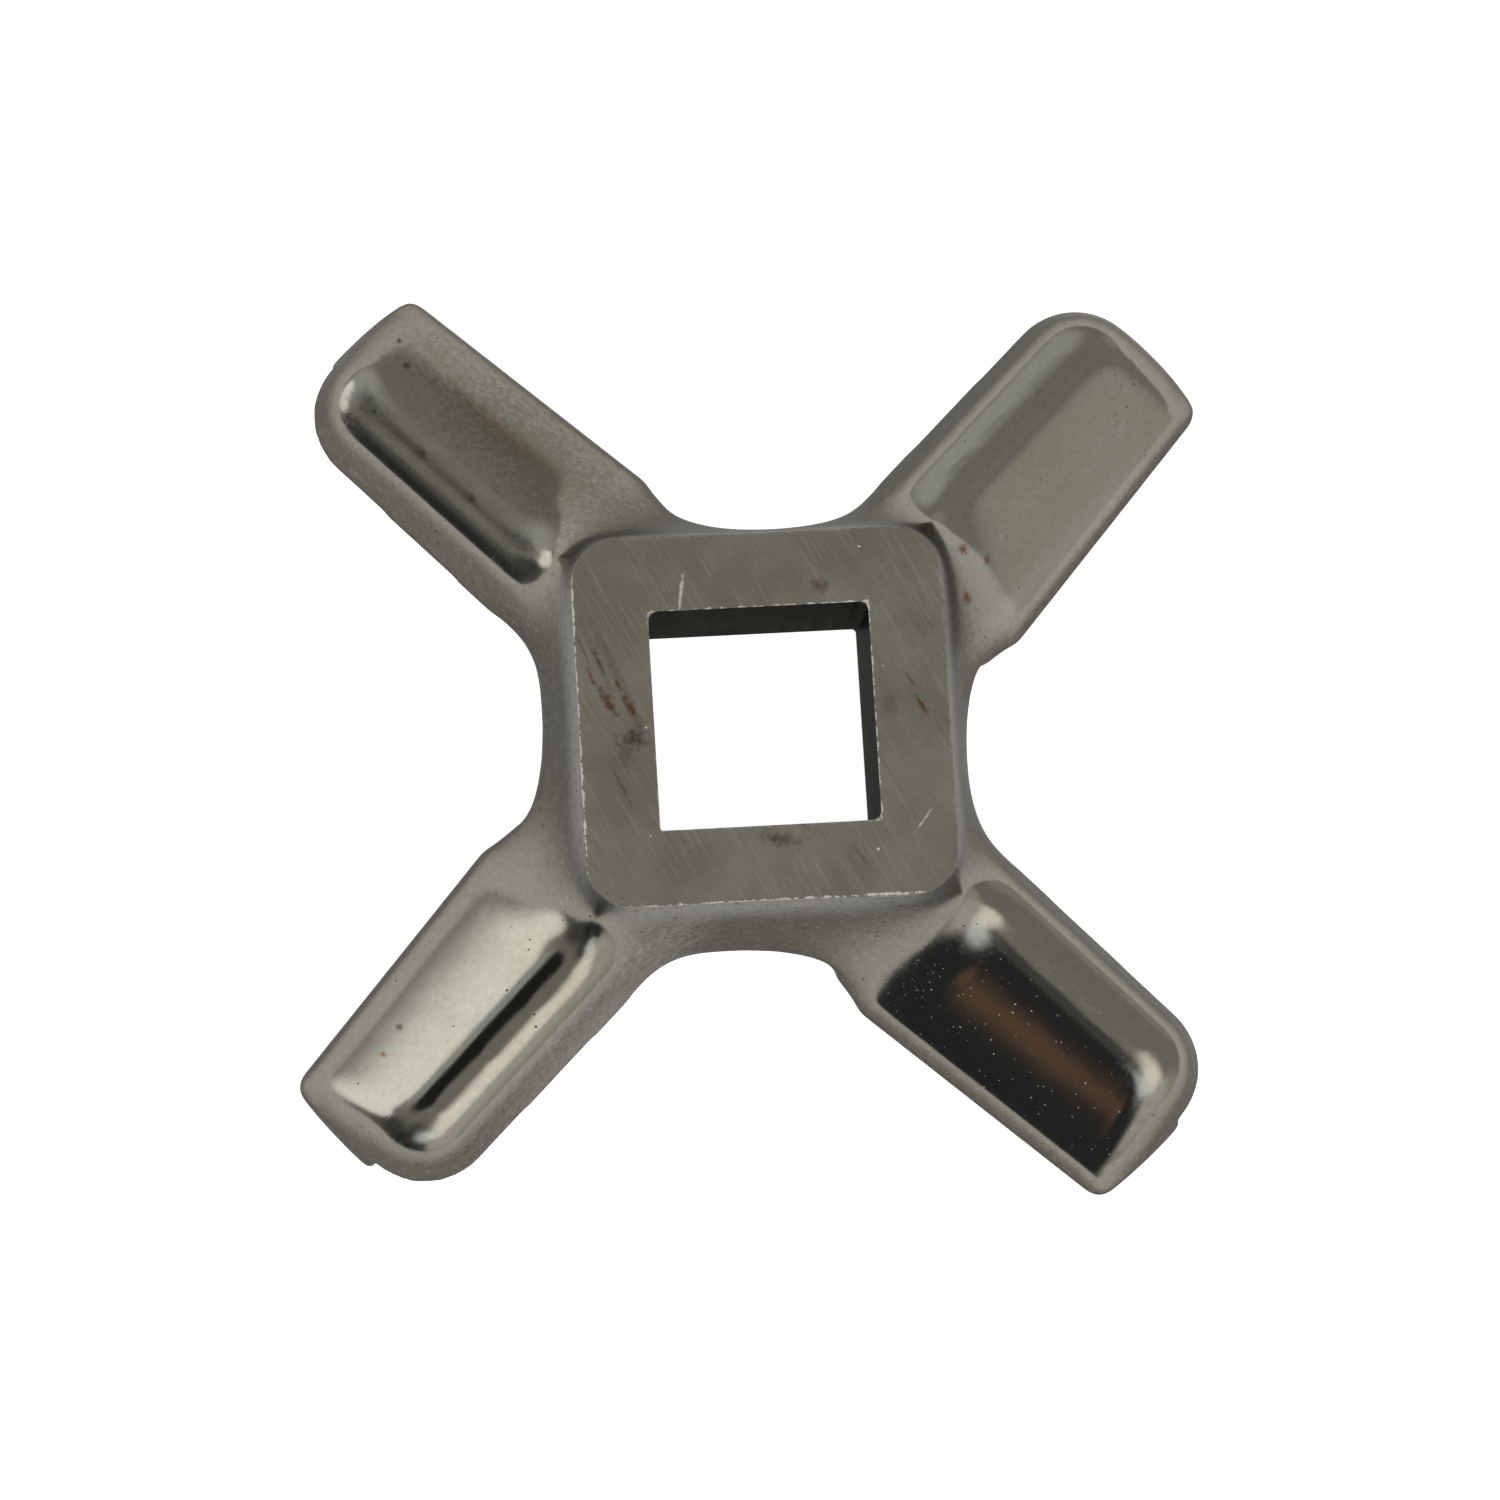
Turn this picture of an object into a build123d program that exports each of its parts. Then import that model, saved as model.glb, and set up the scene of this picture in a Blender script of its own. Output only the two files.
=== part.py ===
"""Four-wing meat grinder knife with a square drive hole, cast in one piece.

Millimetres and degrees. The origin is on the axis of the drive hole, at the
level of the ground cutting lands, which lie against the grinder's plate. +Z
points along the axis to the hub's face, and the sides of the drive hole and
of the hub are parallel to X and Y. The wings turn clockwise seen from +Z.

The hub and the wings are drafted and meet in rolling blends. On the lower
side only the cutting lands come down to the plate: the rest of the casting
ends higher, at its flat underside.
"""

import os
from math import cos, radians, sqrt, tan

from build123d import *

os.makedirs("parts", exist_ok=True)

# Hub and drive hole
height = 8.9  # from the lands to the hub's ground face
hub_width = 16.5  # across the flats of the ground face
hub_corner = 1.9  # corner radius of the ground face
hub_draft = 11.3
bore_width = 9.95  # across the flats, at the lands
bore_corner = 0.45
bore_draft = 0.4  # the hole widens toward the lands

# Wings, in plan at the level of the lands
wing_count = 4
sweep_radius = 26.35  # the tip's wall, carried down to the lands
wing_draft = 17.0  # draft of the back wall, the tip and the lands' rims
back_offset = 4.55  # back wall from the wing's radial line, beside the axis
back_lead = 1.6  # the back wall closes on that line by this angle toward the tip
tip_corner = 3.8  # plan radius between the tip and the back wall
crest_radius = 2.0  # rounding of the crest and of the tip's upper edge
rake = 39.0  # slope of the leading face above the plate

# Cutting edges and lands
edge_offset = 6.16  # cutting edge from the wing's radial line, at its inner end
edge_lead = 3.5  # the edge closes on that line by this angle toward the tip
edge_corner = 0.8  # plan radius between the cutting edge and the land's tip
edge_hone = 0.05  # taken off the cutting edge, square to the plate
land_radius = 26.1  # the lands' tips are ground to this circle
land_height = 1.4  # from the lands to the underside
land_inner_radius = 10.8  # the lands begin outside this circle

# Blends between the hub and the wings
root_radius = 4.0
root_gap = 0.5  # least flat foot left between two blends
root_share = 0.8  # a blend's radius is at most this share of the rest of the foot

front_reach = 11.0  # wing blanks run past the cutting edge, and are trimmed there
blank_margin = 0.9  # they end this far below the hub's face
beyond = 5.0  # how far cutting shapes run past what they cut
angle_match = 0.001  # faces are told apart by the height of their unit normal
edge_clear = 0.01  # an edge on a level lies within this of it

wing_angle = 45.0
wing_plane = Plane(origin=(0, 0, 0), x_dir=(1, 1, 0), z_dir=(0, 0, 1))
underside = Plane.XY.offset(land_height)

# Cutting edge, in the wing's plane, and the upright plane across it at its
# inner end, whose X runs inward from the edge
edge_axis = Vector(1, 0).rotate(Axis.Z, edge_lead)
edge_start = Vector(sqrt(land_inner_radius**2 - edge_offset**2), -edge_offset)
edge_direction = edge_axis.rotate(Axis.Z, wing_angle)
edge_section = Plane(
    origin=wing_plane.from_local_coords(edge_start),
    x_dir=edge_direction.rotate(Axis.Z, 90),
    z_dir=edge_direction,
)
rim_inset = land_height * tan(radians(wing_draft))


def leading_height(inset):
    """Height of the leading face at a distance inward from the cutting edge."""
    return land_height + (inset - rim_inset) * tan(radians(rake))


def on_circle(start, direction, radius):
    """Point where a line from inside a circle about the axis leaves it."""
    along = start.dot(direction)
    return start + direction * (sqrt(along**2 + radius**2 - start.dot(start)) - along)


with BuildPart() as wing:
    # Blank with the drafted back wall and tip
    back_start = Vector(0, back_offset)
    back_end = on_circle(back_start, Vector(1, 0).rotate(Axis.Z, -back_lead), sweep_radius)
    front_start = Vector(0, -front_reach)
    front_end = on_circle(front_start, Vector(1, 0), sweep_radius)
    with BuildSketch(wing_plane):
        with BuildLine():
            Polyline(back_end, back_start, front_start, front_end)
            RadiusArc(front_end, back_end, -sweep_radius)
        make_face()
        fillet(vertices().sort_by_distance(back_end)[0], tip_corner)
    extrude(amount=height - blank_margin, taper=wing_draft)

    # Leading face, sloping down from the crest and out past the rim
    with BuildSketch(edge_section):
        low = -front_reach
        high = back_offset + edge_offset + beyond
        Polygon(
            (low, -2 * front_reach),
            (low, leading_height(low)),
            (high, leading_height(high)),
            (high, -2 * front_reach),
            align=None,
        )
    extrude(amount=2 * sweep_radius, both=True, mode=Mode.INTERSECT)

    slope = cos(radians(rake))
    leading_face = wing.faces().filter_by(lambda f: abs(f.normal_at().Z - slope) < angle_match)[0]
    crest = leading_face.edges().filter_by(
        lambda e: e.center().Z > edge_clear
        and wing_plane.to_local_coords(e.center()).X > hub_width / 2
    )
    fillet(crest, crest_radius)

with BuildPart() as upper_wing:
    add(wing.part)
    split(bisect_by=underside, keep=Keep.TOP)

with BuildPart() as land:
    # The foot of the wing's leading half, honed along the cutting edge and
    # ground round at the tip
    add(wing.part)
    split(bisect_by=underside, keep=Keep.BOTTOM)
    honed_start = edge_start + edge_axis.rotate(Axis.Z, 90) * edge_hone
    honed_end = on_circle(honed_start, edge_axis, land_radius)
    land_tip = Vector(land_radius, 0)
    with BuildSketch(wing_plane):
        with BuildLine():
            Polyline(land_tip, (0, 0), honed_start - edge_axis * beyond, honed_end)
            RadiusArc(honed_end, land_tip, -land_radius)
        make_face()
        fillet(vertices().sort_by_distance(honed_end)[0], edge_corner)
        Circle(land_inner_radius, mode=Mode.SUBTRACT)
    extrude(amount=land_height, mode=Mode.INTERSECT)

    # Rim, from the cutting edge up to the foot of the leading face
    with BuildSketch(edge_section):
        Polygon(
            (0, 0),
            (rim_inset, land_height),
            (-2 * front_reach, land_height),
            (-2 * front_reach, 0),
            align=None,
        )
    extrude(amount=2 * sweep_radius, both=True, mode=Mode.SUBTRACT)

with BuildPart() as knife:
    flare = (height - land_height) * tan(radians(hub_draft))
    foot_width = hub_width + 2 * flare
    with BuildSketch(underside):
        RectangleRounded(foot_width, foot_width, hub_corner + flare)
    extrude(amount=height - land_height, taper=hub_draft)
    hub_slope = knife.faces().sort_by(Axis.X)[-1].normal_at().Z

    for index in range(wing_count):
        add(upper_wing.part.rotate(Axis.Z, index * 360 / wing_count))

    # Each blend runs from a leading face round the hub's corner to the back
    # wall. The two on a hub wall fit side by side on its foot, between the
    # points where the wings' walls would meet
    hub_walls = knife.faces().filter_by(lambda f: abs(f.normal_at().Z - hub_slope) < angle_match)
    wall_edges = ShapeList(edge for face in hub_walls for edge in face.edges())
    roots = wall_edges.filter_by(
        lambda e: land_height + edge_clear < e.center().Z < height - edge_clear
        and sum(e.is_same(other) for other in wall_edges) == 1
    )
    foot_between = foot_width - sqrt(2) * (back_offset + edge_offset - 2 * rim_inset)
    fillet(roots, min(root_radius, root_share * (foot_between - root_gap)))

    for index in range(wing_count):
        add(land.part.rotate(Axis.Z, index * 360 / wing_count))

    # Drive hole, with its draft
    with BuildSketch(Plane.XY):
        RectangleRounded(bore_width, bore_width, bore_corner)
    extrude(amount=height + beyond, taper=bore_draft, mode=Mode.SUBTRACT)

knife.part.label = "knife"
export_step(knife.part, "parts/knife.step")
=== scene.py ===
"""Four-wing meat grinder knife: finish of the casting, studio floor, lights and camera."""
from math import copysign, cos, radians, sin, tan

import bmesh
import bpy
import numpy as np
from bpy.props import FloatProperty, FloatVectorProperty, IntProperty, PointerProperty
from bpy.types import Operator, Panel, PropertyGroup
from mathutils import Matrix, Vector


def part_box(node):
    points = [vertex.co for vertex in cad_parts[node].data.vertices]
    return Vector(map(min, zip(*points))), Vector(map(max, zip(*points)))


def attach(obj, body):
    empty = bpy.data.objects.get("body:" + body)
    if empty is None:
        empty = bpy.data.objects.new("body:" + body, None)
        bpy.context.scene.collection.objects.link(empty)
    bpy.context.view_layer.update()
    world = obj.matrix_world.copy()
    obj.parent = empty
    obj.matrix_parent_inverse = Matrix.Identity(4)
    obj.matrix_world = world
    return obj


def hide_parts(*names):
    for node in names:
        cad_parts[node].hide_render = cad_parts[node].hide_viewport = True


bl_info = {
    "name": "Meat Grinder Knife",
    "version": (1, 0, 0),
    "blender": (4, 5, 0),
    "location": "3D View > Sidebar > Grinder Knife",
    "description": "Finishes a cast four-wing grinder knife and lays out its studio",
    "category": "Add Mesh",
}

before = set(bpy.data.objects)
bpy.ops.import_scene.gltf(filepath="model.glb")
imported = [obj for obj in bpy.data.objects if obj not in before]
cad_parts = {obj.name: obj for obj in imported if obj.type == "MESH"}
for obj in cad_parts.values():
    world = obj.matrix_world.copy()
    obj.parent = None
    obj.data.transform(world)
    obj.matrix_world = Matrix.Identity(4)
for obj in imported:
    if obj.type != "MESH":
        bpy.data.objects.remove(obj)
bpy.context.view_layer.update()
MM = 0.001
WINGS = 4
HUB_WIDTH = 16.5 * MM
HUB_DRAFT = radians(11.3)
HOLE_FOOT = 9.95 * MM
HOLE_TOP = 9.83 * MM
HOLE_CORNER = 0.45 * MM
HOLE_CORNER_SEGMENTS = 6
HOLE_MARGIN = 0.2 * MM
SHARP_CORNER = 0.3
GRINDING = 1.0 * MM
LAND_HEIGHT = 1.4 * MM
LAND_START = 10.8 * MM
# Leading face, from its cutting edge to its crest
EDGE_OFFSET = 6.16 * MM
EDGE_LEAD = radians(3.5)
EDGE_INNER = 8.87 * MM
RIM_WIDTH = 0.43 * MM
FACE_WIDTH = 5.9 * MM
RAKE = radians(39)
CROWN_START = 6 * MM
CROWN_RUN = 4 * MM
CROWN_FOOT = 0.6 * MM
# Where the hollow blends are filled
FILLED_RADIUS = 15 * MM
FILLED_FADE = 3 * MM
FILLED_FOOT = 0.4 * MM
START_FADE = 1.2 * MM
START_PULL = 0.5
NORMALS_EVERY = 10
# Distances that count as nothing, in metres
SAME_POINT = 1e-7
SAME_LEVEL = 1e-6
ON_PLANE = 1e-8

OLIVE = (0.225, 0.217, 0.178)
# Painted shade: darker colour for the steep walls
PAINTED_WALL_SHADE = (0.11, 0.105, 0.09)
# Painted light: lighter colour for the hub's upper walls
PAINTED_FLANK_LIGHT = (0.46, 0.45, 0.44)
MOTTLE = (0.4, 0.39, 0.37)
STREAK = (0.13, 0.12, 0.1)
FILM = (0.19, 0.175, 0.14)
# Painted dark reflection on one wing's leading face
PAINTED_DARK_REFLECTION = (0.14, 0.133, 0.104)
# Painted light on wing walls that face lower right
PAINTED_WALL_LIGHT = (0.33, 0.32, 0.295)
PIT = (0.075, 0.066, 0.056)
RUST = (0.13, 0.05, 0.022)
BROWN = (0.12, 0.075, 0.045)
STEEL_BROWN = (0.17, 0.13, 0.09)
DUST = (0.75, 0.75, 0.73)
BRIGHT = (0.85, 0.84, 0.8)
GROUND_DARK = (0.225, 0.218, 0.18)
GROUND_LIGHT = (0.42, 0.41, 0.37)
# Painted shade: very dark colours for the drive hole's walls
BROACHED_SHADE_DARK = (0.07, 0.07, 0.065)
BROACHED_SHADE_LIGHT = (0.11, 0.11, 0.1)
HOLE_DARKER_CLOUD = (0.05, 0.05, 0.046)
GRAZING_POLISHED = (0.45, 0.45, 0.44, 1.0)
GRAZING_BROACHED = (0.22, 0.22, 0.21, 1.0)
# Slots of the ground and the broached finish, after the polished one
GROUND = 1
BROACHED = 2
# Lowest and highest roughness of each finish, and what marks add to it
POLISHED_ROUGHNESS = (0.11, 0.36)
GROUND_ROUGHNESS = (0.34, 0.5)
BROACHED_ROUGHNESS = (0.34, 0.5)
FILM_ROUGHNESS = 0.1
SPECK_ROUGHNESS = 0.4
# A wall starts and is full where the upward part of the normal is this
WALL_FACING = (0.75, 0.15)
FLANK_HEIGHTS = (6.0 * MM, 8.4 * MM)
RIM_LINE = 0.12 * MM
POLISHED_RELIEF = 0.003 * MM
GROUND_RELIEF = 0.0018 * MM
BROACHED_RELIEF = 0.004 * MM

CAMERA_PLACE = (-0.019312, -0.040937, 0.270084)
CAMERA_TURNS = (("X", -8.793), ("Y", 3.537), ("Z", 3.473))
# Share of the floor's glow that mirrors see
MIRRORED_SHARE = 0.56

# The tables below are in millimetres and degrees.
# Marks on the hub's face, each over those before it: middle, half sizes, turn, strength and colour
HUB_MARKS = (
    ((-6.5, 2.3, 8.9), (0.25, 3.2, 1), -22, 0.35, BROWN),
    ((-6.95, 1.0, 8.9), (0.22, 0.9, 1), -30, 0.9, RUST),
    ((-5.95, 0.65, 8.9), (0.2, 0.9, 1), -30, 0.8, RUST),
    ((-7.3, 2.9, 8.9), (0.15, 1.6, 1), -20, 0.45, BROWN),
    ((-7.6, 2.1, 8.9), (0.1, 0.55, 1), -20, 0.7, RUST),
    ((-7.9, 3.4, 8.9), (0.09, 0.8, 1), -20, 0.7, BROWN),
    ((-7.2, 2.7, 8.9), (0.1, 0.5, 1), -22, 0.7, RUST),
    ((-6.4, 1.7, 8.9), (0.09, 0.4, 1), -28, 0.8, RUST),
    ((-6.5, -2.9, 8.9), (0.09, 1.1, 1), -24, 0.6, BROWN),
    ((6.6, 1.3, 8.9), (0.08, 0.6, 1), -35, 0.6, BROWN),
    ((1.4, -4.9, 8.9), (0.12, 0.4, 1), -40, 0.6, RUST),
    ((-5.9, -0.75, 8.9), (0.75, 0.5, 1), 0, 0.85, PIT),
    ((-6.3, -1.5, 8.9), (0.5, 0.8, 1), 0, 0.4, PIT),
    ((0.35, -5.55, 8.9), (1.1, 0.35, 1), 12, 0.7, PIT),
    ((2.8, 5.75, 8.9), (0.45, 0.4, 1), 0, 0.7, BROWN),
    ((7.0, 0.15, 8.9), (0.14, 0.7, 1), -28, 0.85, RUST),
    ((5.6, 0.4, 8.9), (0.4, 0.7, 1), 0, 0.35, PIT),
    ((-3.4, 5.7, 8.9), (0.09, 0.9, 1), 10, 0.9, BRIGHT),
    ((6.8, -5.0, 8.9), (0.06, 0.75, 1), 38, 0.8, BRIGHT),
    ((3.9, -6.5, 8.9), (0.12, 0.8, 1), -35, 0.35, RUST),
)
# The same for the wings: a painted dark reflection over one wing's leading face, brown and filmy tints, two
# lighter strips of painted light on walls, single pits and rust spots
WING_MARKS = (
    # Painted dark reflection over most of the upper left wing's leading face
    ((-9.2, 13.6, 4.0), (8.5, 2.6, 9), 45, 0.85, PAINTED_DARK_REFLECTION),
    ((-10.6, 14.2, 4.0), (4.5, 0.6, 9), 45, 0.5, STEEL_BROWN),
    ((-9.0, 11.4, 4.5), (2.4, 1.6, 9), 45, 0.6, FILM),
    ((-13.6, 18.4, 3.5), (2.0, 1.0, 9), 45, 0.5, FILM),
    # Painted light: two strips lightened on walls facing lower right
    ((-8.1, -13.2, 2.5), (8.5, 1.25, 9), -45, 0.85, PAINTED_WALL_LIGHT),
    ((13.9, 7.35, 2.5), (7.5, 0.6, 9), -45, 0.6, PAINTED_WALL_LIGHT),
    ((-14.9, 17.7, 3.9), (0.26, 0.26, 2), 0, 0.95, PIT),
    ((-15.2, 19.0, 3.9), (0.17, 0.17, 2), 0, 0.9, PIT),
    ((-16.8, -12.4, 3.1), (0.2, 0.2, 2), 0, 0.9, PIT),
    ((-17.6, -13.6, 3.3), (0.18, 0.18, 2), 0, 0.8, RUST),
    ((9.7, 7.7, 5.3), (0.32, 0.24, 2), 0, 0.9, RUST),
    ((9.8, 5.6, 4.5), (0.25, 0.35, 2), 0, 0.9, RUST),
    ((10.9, 7.3, 5.0), (0.26, 0.26, 2), 0, 0.9, RUST),
)
# Ends of the crests where handling has dulled the polish: middle, half sizes, added roughness
DULLED = (
    ((-10.3, 9.0, 5.9), (1.5, 1.3, 3), 0.26),
    ((-16.9, 15.6, 5.2), (1.4, 1.4, 3), 0.26),
    ((9.5, -9.6, 5.8), (1.5, 1.5, 3), 0.12),
    ((16.6, -16.3, 5.2), (1.5, 1.5, 3), 0.12),
    ((-8.5, -9.2, 6.4), (1.3, 1.3, 3), 0.1),
    ((-16.3, -17.3, 5.1), (1.3, 1.3, 3), 0.12),
)
# Where pits have rusted: middle and half sizes
RUST_AREAS = (
    ((17.6, 14.3, 3.7), (1.3, 2.0, 4)),
    ((9.6, 4.4, 4.0), (1.2, 2.6, 5)),
    ((-9.0, 8.6, 5.0), (1.4, 1.4, 5)),
    ((4.2, -9.6, 5.0), (2.0, 0.9, 5)),
)
# Where dust lies on the lower right wing: middle, half sizes, turn, dots in a millimetre, share, radius
DUST_AREAS = (
    ((10.6, -14.9, 3.5), (11.0, 3.6, 9), 45, 3.0, 0.7, 0.17),
    ((6.3, -11.2, 3.7), (3.0, 1.8, 9), 45, 4.2, 0.8, 0.18),
)
# Soft patches of light and screens about the object, each over those before it:
# azimuth and zenith angle, angles from its middle where it starts to fade and where it ends, colour
PATCHES = (
    (108, 58, 12, 42, (0.86, 0.87, 0.86)),
    (36, 84, 6, 20, (0.62, 0.61, 0.55)),
    (-45, 84, 15, 38, (0.78, 0.76, 0.7)),
    (-74, 58, 24, 38, (1.02, 1.0, 0.96)),
    (-165, 68, 10, 30, (0.13, 0.13, 0.12)),
    (-125, 46, 12, 26, (0.15, 0.15, 0.14)),
    (-125, 77, 18, 34, (0.05, 0.055, 0.06)),
    (-104, 53, 4, 17, (1.5, 1.62, 1.7)),
    (-82, 46, 5, 19, (1.9, 1.88, 1.84)),
    (-131, 69.2, 1.3, 3.0, (0.33, 0.2, 0.135)),
    (-126, 69.6, 1.3, 3.0, (0.33, 0.2, 0.135)),
    (160, 79, 2, 17, (2.2, 2.2, 2.12)),
    (148, 77, 1, 15, (2.2, 2.2, 2.12)),
    (137, 75.5, 1, 14, (2.25, 2.25, 2.15)),
    (-58, 33, 5, 25, (2.2, 2.08, 1.98)),
    (137, 31, 11, 22, (0.035, 0.035, 0.032)),
)


class KnifeFinish(PropertyGroup):
    """Colours and grain of the steel."""

    skin_grid: FloatProperty(
        name="Skin grid",
        description="Spacing of the casting's skin",
        default=0.18 * MM,
        min=0.05 * MM,
        unit="LENGTH",
    )
    tumbling: IntProperty(
        name="Tumbling", description="How far tumbling has rounded the casting", default=18, min=0
    )
    root_filling: IntProperty(
        name="Root filling", description="How far the hollow blends are widened", default=420, min=0
    )
    crown: FloatProperty(
        name="Crown", description="Bulge of the leading faces", default=0.17 * MM, min=0.0, unit="LENGTH"
    )
    polished_colour: FloatVectorProperty(
        name="Polished steel",
        description="Colour of the tumbled and polished casting",
        default=(0.3, 0.293, 0.264),
        min=0.0,
        max=1.0,
        subtype="COLOR",
    )
    ground_colour: FloatVectorProperty(
        name="Ground steel",
        description="Colour of the ground hub face and cutting lands",
        default=(0.3, 0.295, 0.255),
        min=0.0,
        max=1.0,
        subtype="COLOR",
    )


class KnifeStage(PropertyGroup):
    """Floor, lights and camera."""

    floor_colour: FloatVectorProperty(
        name="Floor",
        description="Colour of the plain floor",
        default=(0.8, 0.8, 0.8),
        min=0.0,
        max=1.0,
        subtype="COLOR",
    )
    room_colour: FloatVectorProperty(
        name="Room",
        description="Light of the room between the softboxes and screens",
        default=(0.46, 0.455, 0.415),
        min=0.0,
        subtype="COLOR",
    )
    floor_glow: FloatProperty(
        name="Floor glow",
        description="White added to the floor where it is looked at",
        default=0.9,
        min=0.0,
        max=1.0,
        subtype="FACTOR",
    )
    floor_size: FloatProperty(
        name="Floor size", description="Side of the square floor", default=1.2, min=0.1, unit="LENGTH"
    )
    focal_length: FloatProperty(
        name="Focal length", description="Lens, in millimetres on a 36 mm frame", default=143.34, min=10.0
    )


def per_mm(count):
    """Texture scale for a count of features in a millimetre."""
    return count / MM


def mm(values):
    """Lengths in metres from lengths in millimetres."""
    return tuple(value * MM for value in values)


def add(tree, kind, inputs=(), **settings):
    """New shader node; an input given as a socket is linked, any other is its value."""
    made = tree.nodes.new("ShaderNode" + kind)
    for name, value in settings.items():
        setattr(made, name, value)
    for name, value in dict(inputs).items():
        if isinstance(value, bpy.types.NodeSocket):
            tree.links.new(value, made.inputs[name])
        else:
            made.inputs[name].default_value = value
    return made


def maths(tree, operation, first, second=0.0):
    """Result of one step of arithmetic."""
    return add(tree, "Math", {0: first, 1: second}, operation=operation).outputs[0]


def vector_maths(tree, operation, first, second=(0, 0, 0)):
    """Result of one step of vector arithmetic."""
    made = add(tree, "VectorMath", {0: first, 1: second}, operation=operation)
    return made.outputs["Value" if operation in ("LENGTH", "DOT_PRODUCT") else "Vector"]


def rise(tree, value, low, high):
    """0 below low and 1 above high, with a soft step between; high may be the lower one."""
    made = add(
        tree, "MapRange", {"Value": value, "From Min": low, "From Max": high}, interpolation_type="SMOOTHSTEP"
    )
    return made.outputs["Result"]


def noise(tree, vector, scale, detail=2.0, roughness=0.5):
    """Cloudy grain about 0.5."""
    inputs = {"Vector": vector, "Scale": scale, "Detail": detail, "Roughness": roughness}
    return add(tree, "TexNoise", inputs).outputs["Fac"]


def tinted(tree, mask, colour, tint):
    """Colour that gives way to the tint where the mask is 1."""
    made = add(tree, "Mix", data_type="RGBA")
    for name, value in (("Factor", mask), ("A", colour), ("B", tint)):
        socket = next(item for item in made.inputs if item.name == name and item.enabled)
        if isinstance(value, bpy.types.NodeSocket):
            tree.links.new(value, socket)
        else:
            socket.default_value = value if name == "Factor" else (*value, 1.0)
    return next(item for item in made.outputs if item.enabled)


def share_of(tree, mask, share):
    """Mask weakened to a share of itself."""
    return maths(tree, "MULTIPLY", mask, share)


def levels(tree, mask, low, high):
    """Value that runs from low to high as the mask runs from 0 to 1."""
    return add(tree, "MapRange", {"Value": mask, "To Min": low, "To Max": high}).outputs["Result"]


def new_material(name):
    """Empty node material with its Principled BSDF and output."""
    material = bpy.data.materials.new(name)
    material.use_nodes = True
    tree = material.node_tree
    tree.nodes.clear()
    shader = add(tree, "BsdfPrincipled")
    add(tree, "OutputMaterial", {"Surface": shader.outputs["BSDF"]})
    return material, tree, shader


def mask_group(name, inputs, wire):
    """Node group with one output, Mask, built the first time it is asked for."""
    group = bpy.data.node_groups.get(name)
    if group is None:
        group = bpy.data.node_groups.new(name, "ShaderNodeTree")
        for label, value in inputs:
            kind = "NodeSocketVector" if isinstance(value, tuple) else "NodeSocketFloat"
            group.interface.new_socket(label, in_out="INPUT", socket_type=kind).default_value = value
        group.interface.new_socket("Mask", in_out="OUTPUT", socket_type="NodeSocketFloat")
        entry = group.nodes.new("NodeGroupInput")
        end = group.nodes.new("NodeGroupOutput")
        group.links.new(wire(group, entry.outputs), end.inputs["Mask"])
    return group


def masked(tree, group, **inputs):
    """Places a mask group in a material and returns its mask."""
    placed = tree.nodes.new("ShaderNodeGroup")
    placed.node_tree = group
    for name, value in inputs.items():
        socket = placed.inputs[name.replace("_", " ").capitalize()]
        if isinstance(value, bpy.types.NodeSocket):
            tree.links.new(value, socket)
        else:
            socket.default_value = value
    return placed.outputs["Mask"]


def scratches():
    """Straight hairlines in one direction of the XY plane."""

    def wire(tree, entry):
        turned = add(
            tree, "VectorRotate", {"Vector": entry["Vector"], "Angle": entry["Turn"]}, rotation_type="Z_AXIS"
        ).outputs["Vector"]
        stretched = vector_maths(tree, "MULTIPLY", turned, entry["Density"])
        grain = noise(tree, stretched, 1.0, detail=3.0, roughness=0.7)
        return rise(tree, grain, entry["Level"], maths(tree, "ADD", entry["Level"], 0.12))

    inputs = (("Vector", (0.0, 0.0, 0.0)), ("Turn", 0.0), ("Density", (1.0, 1.0, 1.0)), ("Level", 0.6))
    return mask_group("Scratches", inputs, wire)


def pits():
    """Scattered dots: one at most in a cell, of uneven size."""

    def wire(tree, entry):
        cells = add(tree, "TexVoronoi", {"Vector": entry["Vector"], "Scale": entry["Scale"]})
        chance = add(tree, "SeparateColor", {"Color": cells.outputs["Color"]}).outputs
        present = maths(tree, "LESS_THAN", chance["Red"], entry["Share"])
        radius = maths(tree, "MULTIPLY", entry["Radius"], levels(tree, chance["Green"], 0.4, 1.0))
        dot = rise(tree, cells.outputs["Distance"], radius, maths(tree, "MULTIPLY", radius, 0.5))
        return maths(tree, "MULTIPLY", present, dot)

    inputs = (("Vector", (0.0, 0.0, 0.0)), ("Scale", 1000.0), ("Share", 0.5), ("Radius", 0.2))
    return mask_group("Pits", inputs, wire)


def smudge():
    """One ragged oval patch."""

    def wire(tree, entry):
        away = vector_maths(tree, "SUBTRACT", entry["Vector"], entry["Centre"])
        turned = add(
            tree, "VectorRotate", {"Vector": away, "Angle": entry["Turn"]}, rotation_type="Z_AXIS"
        ).outputs["Vector"]
        distance = vector_maths(tree, "LENGTH", vector_maths(tree, "DIVIDE", turned, entry["Size"]))
        grain = noise(tree, entry["Vector"], per_mm(3.5), detail=5.0, roughness=0.75)
        ragged = maths(tree, "ADD", distance, levels(tree, grain, -1.6, 1.6))
        return rise(tree, ragged, 1.3, 0.0)

    size = (MM, MM, MM)
    inputs = (("Vector", (0.0, 0.0, 0.0)), ("Centre", (0.0, 0.0, 0.0)), ("Size", size), ("Turn", 0.0))
    return mask_group("Smudge", inputs, wire)


def stain():
    """Cloudy patches over the whole surface."""

    def wire(tree, entry):
        cloud = noise(tree, entry["Vector"], entry["Scale"], detail=5.0, roughness=0.62)
        return rise(tree, cloud, entry["Level"], maths(tree, "ADD", entry["Level"], 0.16))

    inputs = (("Vector", (0.0, 0.0, 0.0)), ("Scale", 200.0), ("Level", 0.55))
    return mask_group("Stain", inputs, wire)


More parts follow.
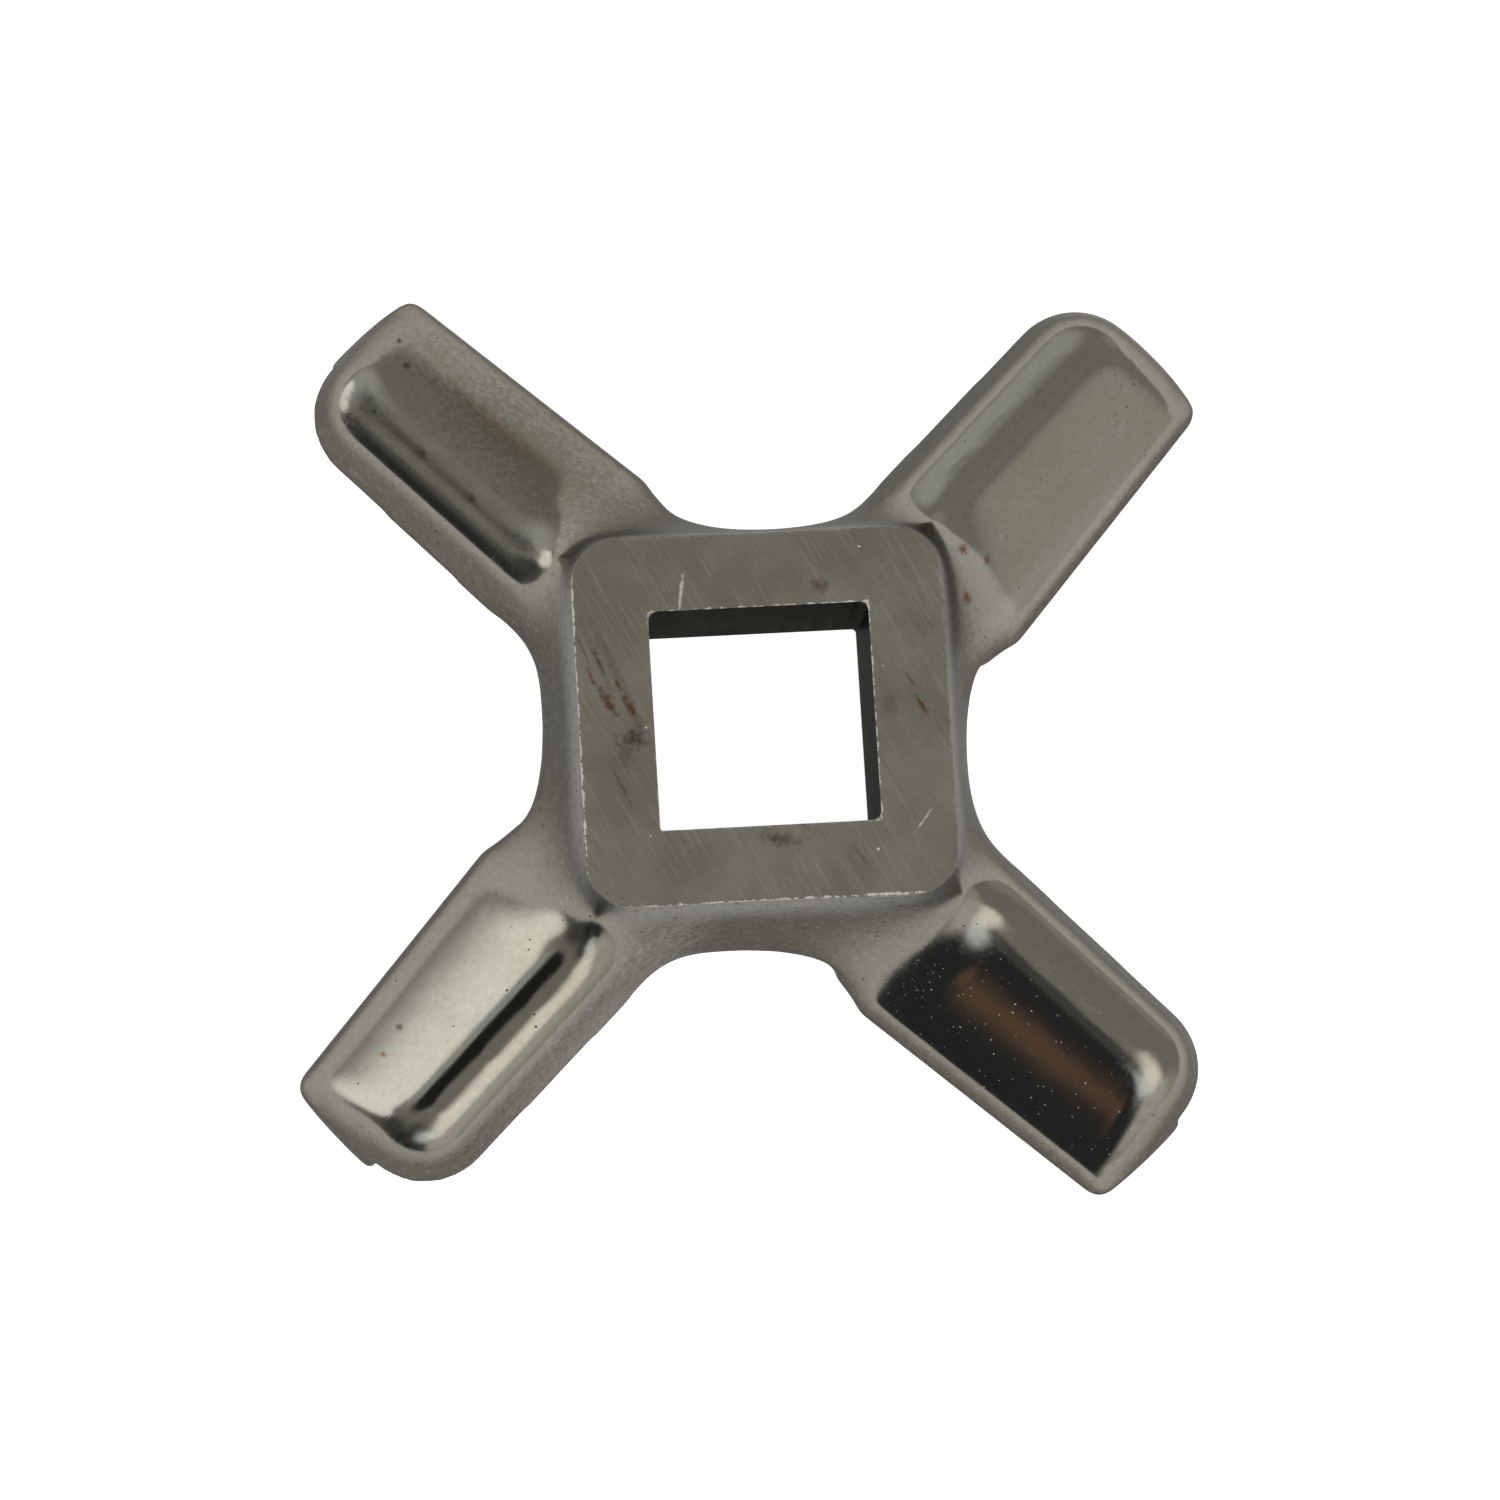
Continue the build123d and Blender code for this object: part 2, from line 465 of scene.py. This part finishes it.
def square_rim():
    """Line along a square outline about the axis, broken as a burr is."""

    def wire(tree, entry):
        part = add(tree, "SeparateXYZ", {"Vector": vector_maths(tree, "ABSOLUTE", entry["Vector"])}).outputs
        reach = maths(tree, "MAXIMUM", part["X"], part["Y"])
        off = maths(tree, "ABSOLUTE", maths(tree, "SUBTRACT", reach, entry["Half width"]))
        grain = noise(tree, entry["Vector"], per_mm(3.0), detail=3.0, roughness=0.7)
        width = maths(tree, "MULTIPLY", entry["Line"], rise(tree, grain, 0.42, 0.62))
        return rise(tree, off, width, maths(tree, "MULTIPLY", width, 0.3))

    inputs = (("Vector", (0.0, 0.0, 0.0)), ("Half width", 5 * MM), ("Line", 0.05 * MM))
    return mask_group("Square rim", inputs, wire)


def marked(tree, place, colour, marks):
    """Lays a table of marks over a colour."""
    for centre, size, turn, strength, tint in marks:
        mark = masked(tree, smudge(), vector=place, centre=mm(centre), size=mm(size), turn=radians(turn))
        colour = tinted(tree, share_of(tree, mark, strength), colour, tint)
    return colour


def either(tree, masks):
    """Mask that is the strongest of several."""
    strongest, *others = masks
    for mask in others:
        strongest = maths(tree, "MAXIMUM", strongest, mask)
    return strongest


def evaluated_mesh(obj):
    """Mesh of an object with its modifiers applied."""
    depsgraph = bpy.context.evaluated_depsgraph_get()
    return bpy.data.meshes.new_from_object(obj.evaluated_get(depsgraph))


def scene_object(name, mesh):
    """New object that holds a mesh, linked to the scene."""
    obj = bpy.data.objects.new(name, mesh)
    bpy.context.scene.collection.objects.link(obj)
    return obj


def grow_faces(bm, faces, move, scale):
    """Extrudes a flat region, moves and scales its end, and drops the old faces."""
    region = bmesh.ops.extrude_face_region(bm, geom=faces)
    ends = [item for item in region["geom"] if isinstance(item, bmesh.types.BMVert)]
    bmesh.ops.translate(bm, verts=ends, vec=move)
    bmesh.ops.scale(bm, verts=ends, vec=scale)
    bmesh.ops.delete(bm, geom=faces, context="FACES")


def grind_flat(bm, level, normal):
    """Cuts off what stands past a level plane and closes the cut."""
    geometry = bm.verts[:] + bm.edges[:] + bm.faces[:]
    cut = bmesh.ops.bisect_plane(
        bm, geom=geometry, dist=ON_PLANE, plane_co=(0, 0, level), plane_no=normal, clear_outer=True
    )
    rim = [item for item in cut["geom_cut"] if isinstance(item, bmesh.types.BMEdge)]
    return bmesh.ops.holes_fill(bm, edges=rim, sides=0)["faces"]


def wing_frames():
    """Directions along and toward the cutting edge of each wing."""
    for index in range(WINGS):
        angle = radians(45 + 90 * index)
        yield Vector((cos(angle), sin(angle), 0)), Vector((sin(angle), -cos(angle), 0))


def crown_leading_faces(mesh, crown):
    """Bulges each flat leading face between the rim and the crest."""
    points = np.empty(len(mesh.vertices) * 3)
    mesh.vertices.foreach_get("co", points)
    points = points.reshape(-1, 3)
    for along, front in wing_frames():
        # Distance inward from the cutting edge, which closes on the wing's line
        u, v = points @ np.array(along), points @ np.array(front)
        inset = EDGE_OFFSET * cos(EDGE_LEAD) - (u - EDGE_INNER) * sin(EDGE_LEAD) - v * cos(EDGE_LEAD)
        share = (inset - RIM_WIDTH) / FACE_WIDTH
        bulge = np.clip(4 * share * (1 - share), 0, None)
        above = np.clip((points[:, 2] - LAND_HEIGHT) / CROWN_FOOT, 0, 1)
        reach = np.clip((u - CROWN_START) / CROWN_RUN, 0, 1)
        amount = crown * bulge * above * reach * (u > 0) * (abs(v) < u)
        points += amount[:, None] * (np.array(front) * sin(RAKE) + np.array((0, 0, cos(RAKE))))
    mesh.vertices.foreach_set("co", points.ravel())
    mesh.update()


def fill_hollows(mesh, passes):
    """Widens the hollow blends at the hub, and leaves what bulges as it is."""
    count = len(mesh.vertices)
    points = np.empty(count * 3)
    mesh.vertices.foreach_get("co", points)
    points = points.reshape(-1, 3)
    ends = np.empty(len(mesh.edges) * 2, dtype=np.int32)
    mesh.edges.foreach_get("vertices", ends)
    a, b = ends.reshape(-1, 2).T
    neighbours = np.bincount(a, minlength=count) + np.bincount(b, minlength=count)
    normals = np.empty(count * 3)
    for step in range(passes):
        if step % NORMALS_EVERY == 0:
            mesh.vertices.foreach_set("co", points.ravel())
            mesh.update()
            mesh.vertex_normals.foreach_get("vector", normals)
            outward = normals.reshape(-1, 3)
            from_axis = np.hypot(points[:, 0], points[:, 1])
            above = np.clip((points[:, 2] - LAND_HEIGHT) / FILLED_FOOT, 0, 1)
            near = np.clip((FILLED_RADIUS - from_axis) / FILLED_FADE, 0, 1) * above
            start = np.clip(2 - abs(from_axis - LAND_START) / START_FADE, 0, 1) * (1 - above)
        mean = np.empty_like(points)
        for axis in range(3):
            total = np.bincount(a, points[b, axis], count) + np.bincount(b, points[a, axis], count)
            mean[:, axis] = total / neighbours
        pull = mean - points
        lift = np.clip((pull * outward).sum(1), 0, None)
        points += outward * (lift * near)[:, None] + pull * (START_PULL * start)[:, None]
    mesh.vertices.foreach_set("co", points.ravel())
    mesh.update()


class KNIFE_OT_casting(Operator):
    """Casts the knife, grinds its hub face and lands, and broaches the drive hole"""

    bl_idname = "knife.casting"
    bl_label = "Casting"

    def execute(self, context):
        sizes = context.scene.knife_finish
        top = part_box("knife")[1].z
        skin = self.tumbled(self.blank(top), sizes)
        self.grind(skin, top)
        casting = self.broached(skin, top, sizes)
        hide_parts("knife")
        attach(casting, "root")
        return {"FINISHED"}

    def tumbled(self, blank_mesh, sizes):
        """An even skin over the blank, crowned, worn smooth and filled at the roots."""
        pattern = scene_object("casting_pattern", blank_mesh)
        blank = scene_object("casting_blank", pattern.data)
        remesh = blank.modifiers.new("skin", "REMESH")
        remesh.mode = "VOXEL"
        remesh.voxel_size = sizes.skin_grid
        settle = blank.modifiers.new("settled", "SHRINKWRAP")
        settle.target = pattern
        settle.wrap_method = "NEAREST_SURFACEPOINT"
        blank.data = evaluated_mesh(blank)
        blank.modifiers.clear()
        bpy.data.objects.remove(pattern)
        crown_leading_faces(blank.data, sizes.crown)
        smooth = blank.modifiers.new("tumbled", "SMOOTH")
        smooth.factor = 0.5
        smooth.iterations = sizes.tumbling
        blank.data = evaluated_mesh(blank)
        fill_hollows(blank.data, sizes.root_filling)
        skin = evaluated_mesh(blank)
        bpy.data.objects.remove(blank)
        return skin

    def grind(self, skin, top):
        """Grinds the hub's face and the lands flat and sharp."""
        bm = bmesh.new()
        bm.from_mesh(skin)
        for face in bm.faces:
            face.smooth = True
        for level, normal in ((top, (0, 0, 1)), (0.0, (0, 0, -1))):
            for face in grind_flat(bm, level, normal):
                face.smooth = False
                face.material_index = GROUND
        bm.to_mesh(skin)
        bm.free()

    def broached(self, skin, top, sizes):
        """The casting with its drive hole and its three finishes."""
        casting = scene_object("casting", skin)
        hole = scene_object("drive_hole", self.hole_cutter(top))
        finishes = (polished_steel(sizes), ground_steel(sizes), broached_steel())
        for piece in (casting, hole):
            for material in finishes:
                piece.data.materials.append(material)
        cut = casting.modifiers.new("broached", "BOOLEAN")
        cut.object = hole
        cut.solver = "EXACT"
        cut.material_mode = "TRANSFER"
        finished = evaluated_mesh(casting)
        casting.modifiers.clear()
        casting.data = finished
        bpy.data.objects.remove(hole)
        return casting

    def blank(self, top):
        """The casting before grinding: no hole, the hub taller and the lands deeper."""
        half_hole = HOLE_TOP / 2 + HOLE_MARGIN
        bm = bmesh.new()
        bm.from_mesh(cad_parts["knife"].data)
        bmesh.ops.remove_doubles(bm, verts=bm.verts, dist=SAME_POINT)
        bm.normal_update()
        hub_face = [f for f in bm.faces if f.calc_center_median().z > top - SAME_LEVEL]
        hole = [
            f
            for f in bm.faces
            if abs(f.normal.z) < 0.5
            and max(max(abs(v.co.x), abs(v.co.y)) for v in f.verts) < half_hole
        ]
        bmesh.ops.delete(bm, geom=hub_face + hole, context="FACES")
        rims = [edge for edge in bm.edges if edge.is_boundary]
        caps = bmesh.ops.holes_fill(bm, edges=rims, sides=0)["faces"]
        bmesh.ops.recalc_face_normals(bm, faces=bm.faces)
        cap = max(caps, key=lambda f: f.calc_center_median().z)
        shrink = 1 - 2 * GRINDING * tan(HUB_DRAFT) / HUB_WIDTH
        grow_faces(bm, [cap], (0, 0, GRINDING), (shrink, shrink, 1))
        lands = [f for f in bm.faces if f.calc_center_median().z < SAME_LEVEL]
        grow_faces(bm, lands, (0, 0, -GRINDING), (1, 1, 1))
        mesh = bpy.data.meshes.new("casting_blank")
        bm.to_mesh(mesh)
        bm.free()
        return mesh

    def hole_cutter(self, top):
        """Square drift with rounded corners, a little wider toward the lands."""
        bm = bmesh.new()
        bmesh.ops.create_cube(bm, size=1.0)
        upright = [e for e in bm.edges if abs(e.verts[0].co.z - e.verts[1].co.z) > 0.5]
        bmesh.ops.bevel(
            bm,
            geom=upright,
            offset=HOLE_CORNER / HOLE_TOP,
            offset_type="OFFSET",
            affect="EDGES",
            segments=HOLE_CORNER_SEGMENTS,
            profile=0.5,
            material=-1,
        )
        bmesh.ops.translate(bm, verts=bm.verts, vec=(0, 0, 0.5))
        for vert in bm.verts:
            # The corners are rounded at the hub's face only, and one of them hardly there
            worn = vert.co.z > 0.5 and max(vert.co.x, vert.co.y) > 0
            corner = Vector((copysign(0.5, vert.co.x), copysign(0.5, vert.co.y), vert.co.z))
            vert.co = corner.lerp(vert.co, 1.0 if worn else SHARP_CORNER)
            width = HOLE_TOP + (HOLE_FOOT - HOLE_TOP) * (1 - vert.co.z)
            vert.co.x *= width
            vert.co.y *= width
            vert.co.z *= top
            vert.co.z += GRINDING if vert.co.z > top / 2 else -GRINDING
        for face in bm.faces:
            face.material_index = BROACHED
            face.smooth = False
        mesh = bpy.data.meshes.new("drive_hole")
        bm.to_mesh(mesh)
        bm.free()
        return mesh


def polished_steel(sizes):
    """Tumbled and polished casting: bright on the wings, satin on walls and flanks, with painted shade on the
    steep walls, painted light on the hub's upper walls and on two wing walls, and a painted dark reflection on
    one wing's face.
    """
    material, tree, shader = new_material("Polished steel")
    spot = add(tree, "TexCoord")
    place = spot.outputs["Object"]
    facing = add(tree, "SeparateXYZ", {"Vector": spot.outputs["Normal"]}).outputs["Z"]
    height = add(tree, "SeparateXYZ", {"Vector": place}).outputs["Z"]
    wall = rise(tree, facing, *WALL_FACING)
    flank = maths(tree, "MULTIPLY", wall, rise(tree, height, *FLANK_HEIGHTS))

    cloud = noise(tree, place, per_mm(0.16), detail=4.0)
    colour = tinted(tree, levels(tree, cloud, 0.0, 1.0), sizes.polished_colour, OLIVE)
    # Steep walls darkened by their facing: painted shade
    colour = tinted(tree, share_of(tree, wall, 0.8), colour, PAINTED_WALL_SHADE)
    # The hub's upper walls lightened: painted light
    colour = tinted(tree, share_of(tree, flank, 0.6), colour, PAINTED_FLANK_LIGHT)
    film = masked(tree, stain(), vector=place, scale=per_mm(0.35), level=0.56)
    film = maths(tree, "MULTIPLY", film, levels(tree, wall, 0.25, 1.0))
    colour = tinted(tree, share_of(tree, film, 0.4), colour, FILM)
    mottle = noise(tree, place, per_mm(3.0), detail=6.0, roughness=0.75)
    light = maths(tree, "MULTIPLY", rise(tree, mottle, 0.5, 0.75), levels(tree, wall, 0.3, 0.55))
    colour = tinted(tree, light, colour, MOTTLE)
    dark = maths(tree, "MULTIPLY", rise(tree, mottle, 0.5, 0.25), levels(tree, wall, 0.3, 0.75))
    colour = tinted(tree, dark, colour, STREAK)
    speckle = masked(tree, pits(), vector=place, scale=per_mm(2.2), share=0.5, radius=0.29)
    speckle = maths(tree, "MULTIPLY", speckle, levels(tree, wall, 0.1, 0.75))
    colour = tinted(tree, speckle, colour, PIT)
    colour = marked(tree, place, colour, WING_MARKS)

    pocked = noise(tree, place, per_mm(0.13), detail=2.0)
    share = levels(tree, pocked, -0.25, 1.2)
    holes = masked(tree, pits(), vector=place, scale=per_mm(1.7), share=share, radius=0.12)
    colour = tinted(tree, share_of(tree, holes, 0.85), colour, PIT)

    rusty = either(
        tree,
        [masked(tree, smudge(), vector=place, centre=mm(centre), size=mm(size)) for centre, size in RUST_AREAS],
    )
    rust = masked(tree, pits(), vector=place, scale=per_mm(3.2), share=0.6, radius=0.3)
    rust = maths(tree, "MULTIPLY", rust, rusty)
    colour = tinted(tree, share_of(tree, rust, 0.8), colour, RUST)

    dotted = []
    for centre, size, turn, count, share, radius in DUST_AREAS:
        area = masked(tree, smudge(), vector=place, centre=mm(centre), size=mm(size), turn=radians(turn))
        dots = masked(tree, pits(), vector=place, scale=per_mm(count), share=share, radius=radius)
        dotted.append(maths(tree, "MULTIPLY", dots, area))
    dust = either(tree, dotted)
    colour = tinted(tree, dust, colour, DUST)

    hair = maths(
        tree,
        "MAXIMUM",
        masked(tree, scratches(), vector=place, turn=radians(-38), density=(260, 7000, 7000), level=0.66),
        masked(tree, scratches(), vector=place, turn=radians(52), density=(300, 6000, 6000), level=0.68),
    )
    colour = tinted(tree, share_of(tree, hair, 0.25), colour, BRIGHT)
    tree.links.new(colour, shader.inputs["Base Color"])
    tree.links.new(levels(tree, dust, 1.0, 0.2), shader.inputs["Metallic"])
    shader.inputs["Specular Tint"].default_value = GRAZING_POLISHED

    gloss = levels(tree, wall, *POLISHED_ROUGHNESS)
    satin = maths(tree, "MAXIMUM", film, flank)
    gloss = maths(tree, "ADD", gloss, levels(tree, satin, 0.0, FILM_ROUGHNESS))
    specks = maths(tree, "MAXIMUM", dust, holes)
    gloss = maths(tree, "ADD", gloss, levels(tree, specks, 0.0, SPECK_ROUGHNESS))
    for centre, size, roughness in DULLED:
        dull = masked(tree, smudge(), vector=place, centre=mm(centre), size=mm(size))
        gloss = maths(tree, "ADD", gloss, levels(tree, dull, 0.0, roughness))
    tree.links.new(gloss, shader.inputs["Roughness"])

    peel = maths(tree, "MULTIPLY", noise(tree, place, per_mm(0.4), detail=1.0), 4.0)
    frost = maths(tree, "MULTIPLY", noise(tree, place, per_mm(4.0), detail=3.0), levels(tree, wall, 0.12, 0.9))
    relief = maths(tree, "ADD", peel, frost)
    relief = maths(tree, "SUBTRACT", relief, maths(tree, "MULTIPLY", holes, 6.0))
    relief = maths(tree, "SUBTRACT", relief, maths(tree, "MULTIPLY", hair, 0.15))
    bump = add(tree, "Bump", {"Height": relief, "Distance": POLISHED_RELIEF})
    tree.links.new(bump.outputs["Normal"], shader.inputs["Normal"])
    return material


def ground_steel(sizes):
    """Surface-ground hub face and cutting lands, with handling marks and a little rust."""
    material, tree, shader = new_material("Ground steel")
    place = add(tree, "TexCoord").outputs["Object"]
    fine = masked(tree, scratches(), vector=place, turn=radians(64), density=(260, 9500, 9500), level=0.52)
    coarse = masked(tree, scratches(), vector=place, turn=radians(56), density=(220, 3000, 3000), level=0.58)
    cross = masked(tree, scratches(), vector=place, turn=radians(-40), density=(300, 7000, 7000), level=0.7)
    cloud = noise(tree, place, per_mm(0.3), detail=5.0, roughness=0.6)
    colour = tinted(tree, rise(tree, cloud, 0.3, 0.7), sizes.ground_colour, GROUND_DARK)
    colour = tinted(tree, share_of(tree, fine, 0.3), colour, GROUND_LIGHT)
    colour = tinted(tree, share_of(tree, coarse, 0.5), colour, GROUND_DARK)
    colour = tinted(tree, share_of(tree, cross, 0.35), colour, GROUND_LIGHT)
    pepper = masked(tree, pits(), vector=place, scale=per_mm(1.6), share=0.25, radius=0.16)
    colour = tinted(tree, share_of(tree, pepper, 0.5), colour, PIT)
    colour = marked(tree, place, colour, HUB_MARKS)
    # The burr stands up where the wheel left the metal: two sides of the hole, the other two of the hub. Its
    # bright line is partly the raw burr and partly a painted highlight.
    side = vector_maths(tree, "DOT_PRODUCT", place, (1.0, 1.0, 0.0))
    hole_side = levels(tree, rise(tree, side, -1 * MM, MM), 0.25, 1.0)
    hub_side = levels(tree, rise(tree, side, MM, -1 * MM), 0.12, 1.0)
    hole_rim = masked(tree, square_rim(), vector=place, half_width=HOLE_TOP / 2, line=RIM_LINE)
    hub_rim = masked(tree, square_rim(), vector=place, half_width=HUB_WIDTH / 2, line=RIM_LINE)
    hole_burr = maths(tree, "MULTIPLY", hole_rim, hole_side)
    hub_burr = maths(tree, "MULTIPLY", hub_rim, hub_side)
    burr = maths(tree, "MAXIMUM", hole_burr, hub_burr)
    upper = rise(tree, add(tree, "SeparateXYZ", {"Vector": place}).outputs["Z"], 8 * MM, 8.5 * MM)
    burr = maths(tree, "MULTIPLY", burr, upper)
    glint = masked(tree, pits(), vector=place, scale=per_mm(1.3), share=0.12, radius=0.12)
    bright = maths(tree, "MAXIMUM", burr, glint)
    # Bright burr lines, partly painted highlight, and glints
    colour = tinted(tree, bright, colour, BRIGHT)
    tree.links.new(colour, shader.inputs["Base Color"])
    shader.inputs["Metallic"].default_value = 1.0
    gloss = levels(tree, maths(tree, "MAXIMUM", fine, cloud), *GROUND_ROUGHNESS)
    tree.links.new(gloss, shader.inputs["Roughness"])
    relief = maths(tree, "ADD", fine, maths(tree, "MULTIPLY", coarse, 2.0))
    relief = maths(tree, "SUBTRACT", relief, maths(tree, "MULTIPLY", pepper, 3.0))
    bump = add(tree, "Bump", {"Height": relief, "Distance": GROUND_RELIEF})
    tree.links.new(bump.outputs["Normal"], shader.inputs["Normal"])
    return material


def broached_steel():
    """Walls of the drive hole, drawn along the axis by the broach, given very dark colours as painted shade,
    with cloudy patches darker still.
    """
    material, tree, shader = new_material("Broached steel")
    place = add(tree, "TexCoord").outputs["Object"]
    drawn = vector_maths(tree, "MULTIPLY", place, (5200.0, 5200.0, 160.0))
    score = noise(tree, drawn, 1.0, detail=3.0, roughness=0.6)
    # The broach's score lines in two very dark tones: painted shade inside the hole
    colour = tinted(tree, rise(tree, score, 0.35, 0.7), BROACHED_SHADE_DARK, BROACHED_SHADE_LIGHT)
    # Cloudy patches darker still
    darker_clouds = masked(tree, stain(), vector=place, scale=per_mm(0.4), level=0.5)
    colour = tinted(tree, share_of(tree, darker_clouds, 0.5), colour, HOLE_DARKER_CLOUD)
    height = add(tree, "SeparateXYZ", {"Vector": place}).outputs["Z"]
    # Bright nicks along the hole's upper rim: partly raw metal, partly painted highlight
    edge = masked(tree, pits(), vector=place, scale=per_mm(2.5), share=0.6, radius=0.45)
    edge = maths(tree, "MULTIPLY", edge, rise(tree, height, 8.72 * MM, 8.86 * MM))
    colour = tinted(tree, edge, colour, BRIGHT)
    tree.links.new(colour, shader.inputs["Base Color"])
    shader.inputs["Metallic"].default_value = 1.0
    shader.inputs["Specular Tint"].default_value = GRAZING_BROACHED
    tree.links.new(levels(tree, score, *BROACHED_ROUGHNESS), shader.inputs["Roughness"])
    bump = add(tree, "Bump", {"Height": score, "Distance": BROACHED_RELIEF})
    tree.links.new(bump.outputs["Normal"], shader.inputs["Normal"])
    return material


class KNIFE_OT_stage(Operator):
    """Lays the floor and sets the lights and the camera"""

    bl_idname = "knife.stage"
    bl_label = "Stage"

    def execute(self, context):
        self.floor(context)
        self.sky(context)
        self.camera(context)
        context.scene.view_settings.view_transform = "Standard"
        return {"FINISHED"}

    def floor(self, context):
        stage = context.scene.knife_stage
        bpy.ops.mesh.primitive_grid_add(size=stage.floor_size, location=(0, 0, 0))
        floor = context.active_object
        floor.name = "floor"
        material, tree, shader = new_material("Plain floor")
        shader.inputs["Base Color"].default_value = (*stage.floor_colour, 1.0)
        shader.inputs["Roughness"].default_value = 0.9
        shader.inputs["Specular IOR Level"].default_value = 0.0
        shader.inputs["Emission Color"].default_value = (1.0, 1.0, 1.0, 1.0)
        ray = add(tree, "LightPath").outputs
        mirrored = maths(tree, "MAXIMUM", ray["Is Glossy Ray"], ray["Is Transmission Ray"])
        glow = maths(
            tree,
            "ADD",
            maths(tree, "MULTIPLY", ray["Is Camera Ray"], stage.floor_glow),
            maths(tree, "MULTIPLY", mirrored, stage.floor_glow * MIRRORED_SHARE),
        )
        tree.links.new(glow, shader.inputs["Emission Strength"])
        floor.data.materials.append(material)

    def sky(self, context):
        stage = context.scene.knife_stage
        world = bpy.data.worlds.new("Studio")
        context.scene.world = world
        world.use_nodes = True
        tree = world.node_tree
        tree.nodes.clear()
        output = tree.nodes.new("ShaderNodeOutputWorld")
        background = tree.nodes.new("ShaderNodeBackground")
        tree.links.new(background.outputs[0], output.inputs["Surface"])
        direction = add(tree, "TexCoord").outputs["Generated"]
        colour = stage.room_colour
        for azimuth, zenith, inner, outer, tint in PATCHES:
            a, z = radians(azimuth), radians(zenith)
            toward = (sin(z) * cos(a), sin(z) * sin(a), cos(z))
            nearness = vector_maths(tree, "DOT_PRODUCT", direction, toward)
            patch = rise(tree, nearness, cos(radians(outer)), cos(radians(inner)))
            colour = tinted(tree, patch, colour, tint)
        tree.links.new(colour, background.inputs["Color"])

    def camera(self, context):
        stage = context.scene.knife_stage
        data = bpy.data.cameras.new("camera")
        camera = bpy.data.objects.new("camera", data)
        context.scene.collection.objects.link(camera)
        data.lens = stage.focal_length
        turn = Matrix.Identity(3)
        for axis, angle in CAMERA_TURNS:
            turn = turn @ Matrix.Rotation(radians(angle), 3, axis)
        camera.matrix_world = Matrix.Translation(CAMERA_PLACE) @ turn.transposed().to_4x4()
        context.scene.camera = camera


class KNIFE_PT_panel(Panel):
    """Lists the knife's operators and sizes"""

    bl_label = "Grinder Knife"
    bl_idname = "KNIFE_PT_panel"
    bl_space_type = "VIEW_3D"
    bl_region_type = "UI"
    bl_category = "Grinder Knife"

    def draw(self, context):
        layout = self.layout
        layout.label(text="Sizes and colours")
        for group in (context.scene.knife_finish, context.scene.knife_stage):
            for name in group.__annotations__:
                layout.prop(group, name)
        layout.operator("knife.casting")
        layout.operator("knife.stage")


CLASSES = (KnifeFinish, KnifeStage, KNIFE_OT_casting, KNIFE_OT_stage, KNIFE_PT_panel)


def register():
    for cls in CLASSES:
        bpy.utils.register_class(cls)
    bpy.types.Scene.knife_finish = PointerProperty(type=KnifeFinish)
    bpy.types.Scene.knife_stage = PointerProperty(type=KnifeStage)


def unregister():
    del bpy.types.Scene.knife_stage
    del bpy.types.Scene.knife_finish
    for cls in reversed(CLASSES):
        bpy.utils.unregister_class(cls)


def main():
    register()
    bpy.ops.knife.casting()
    bpy.ops.knife.stage()


if __name__ == "__main__":
    main()
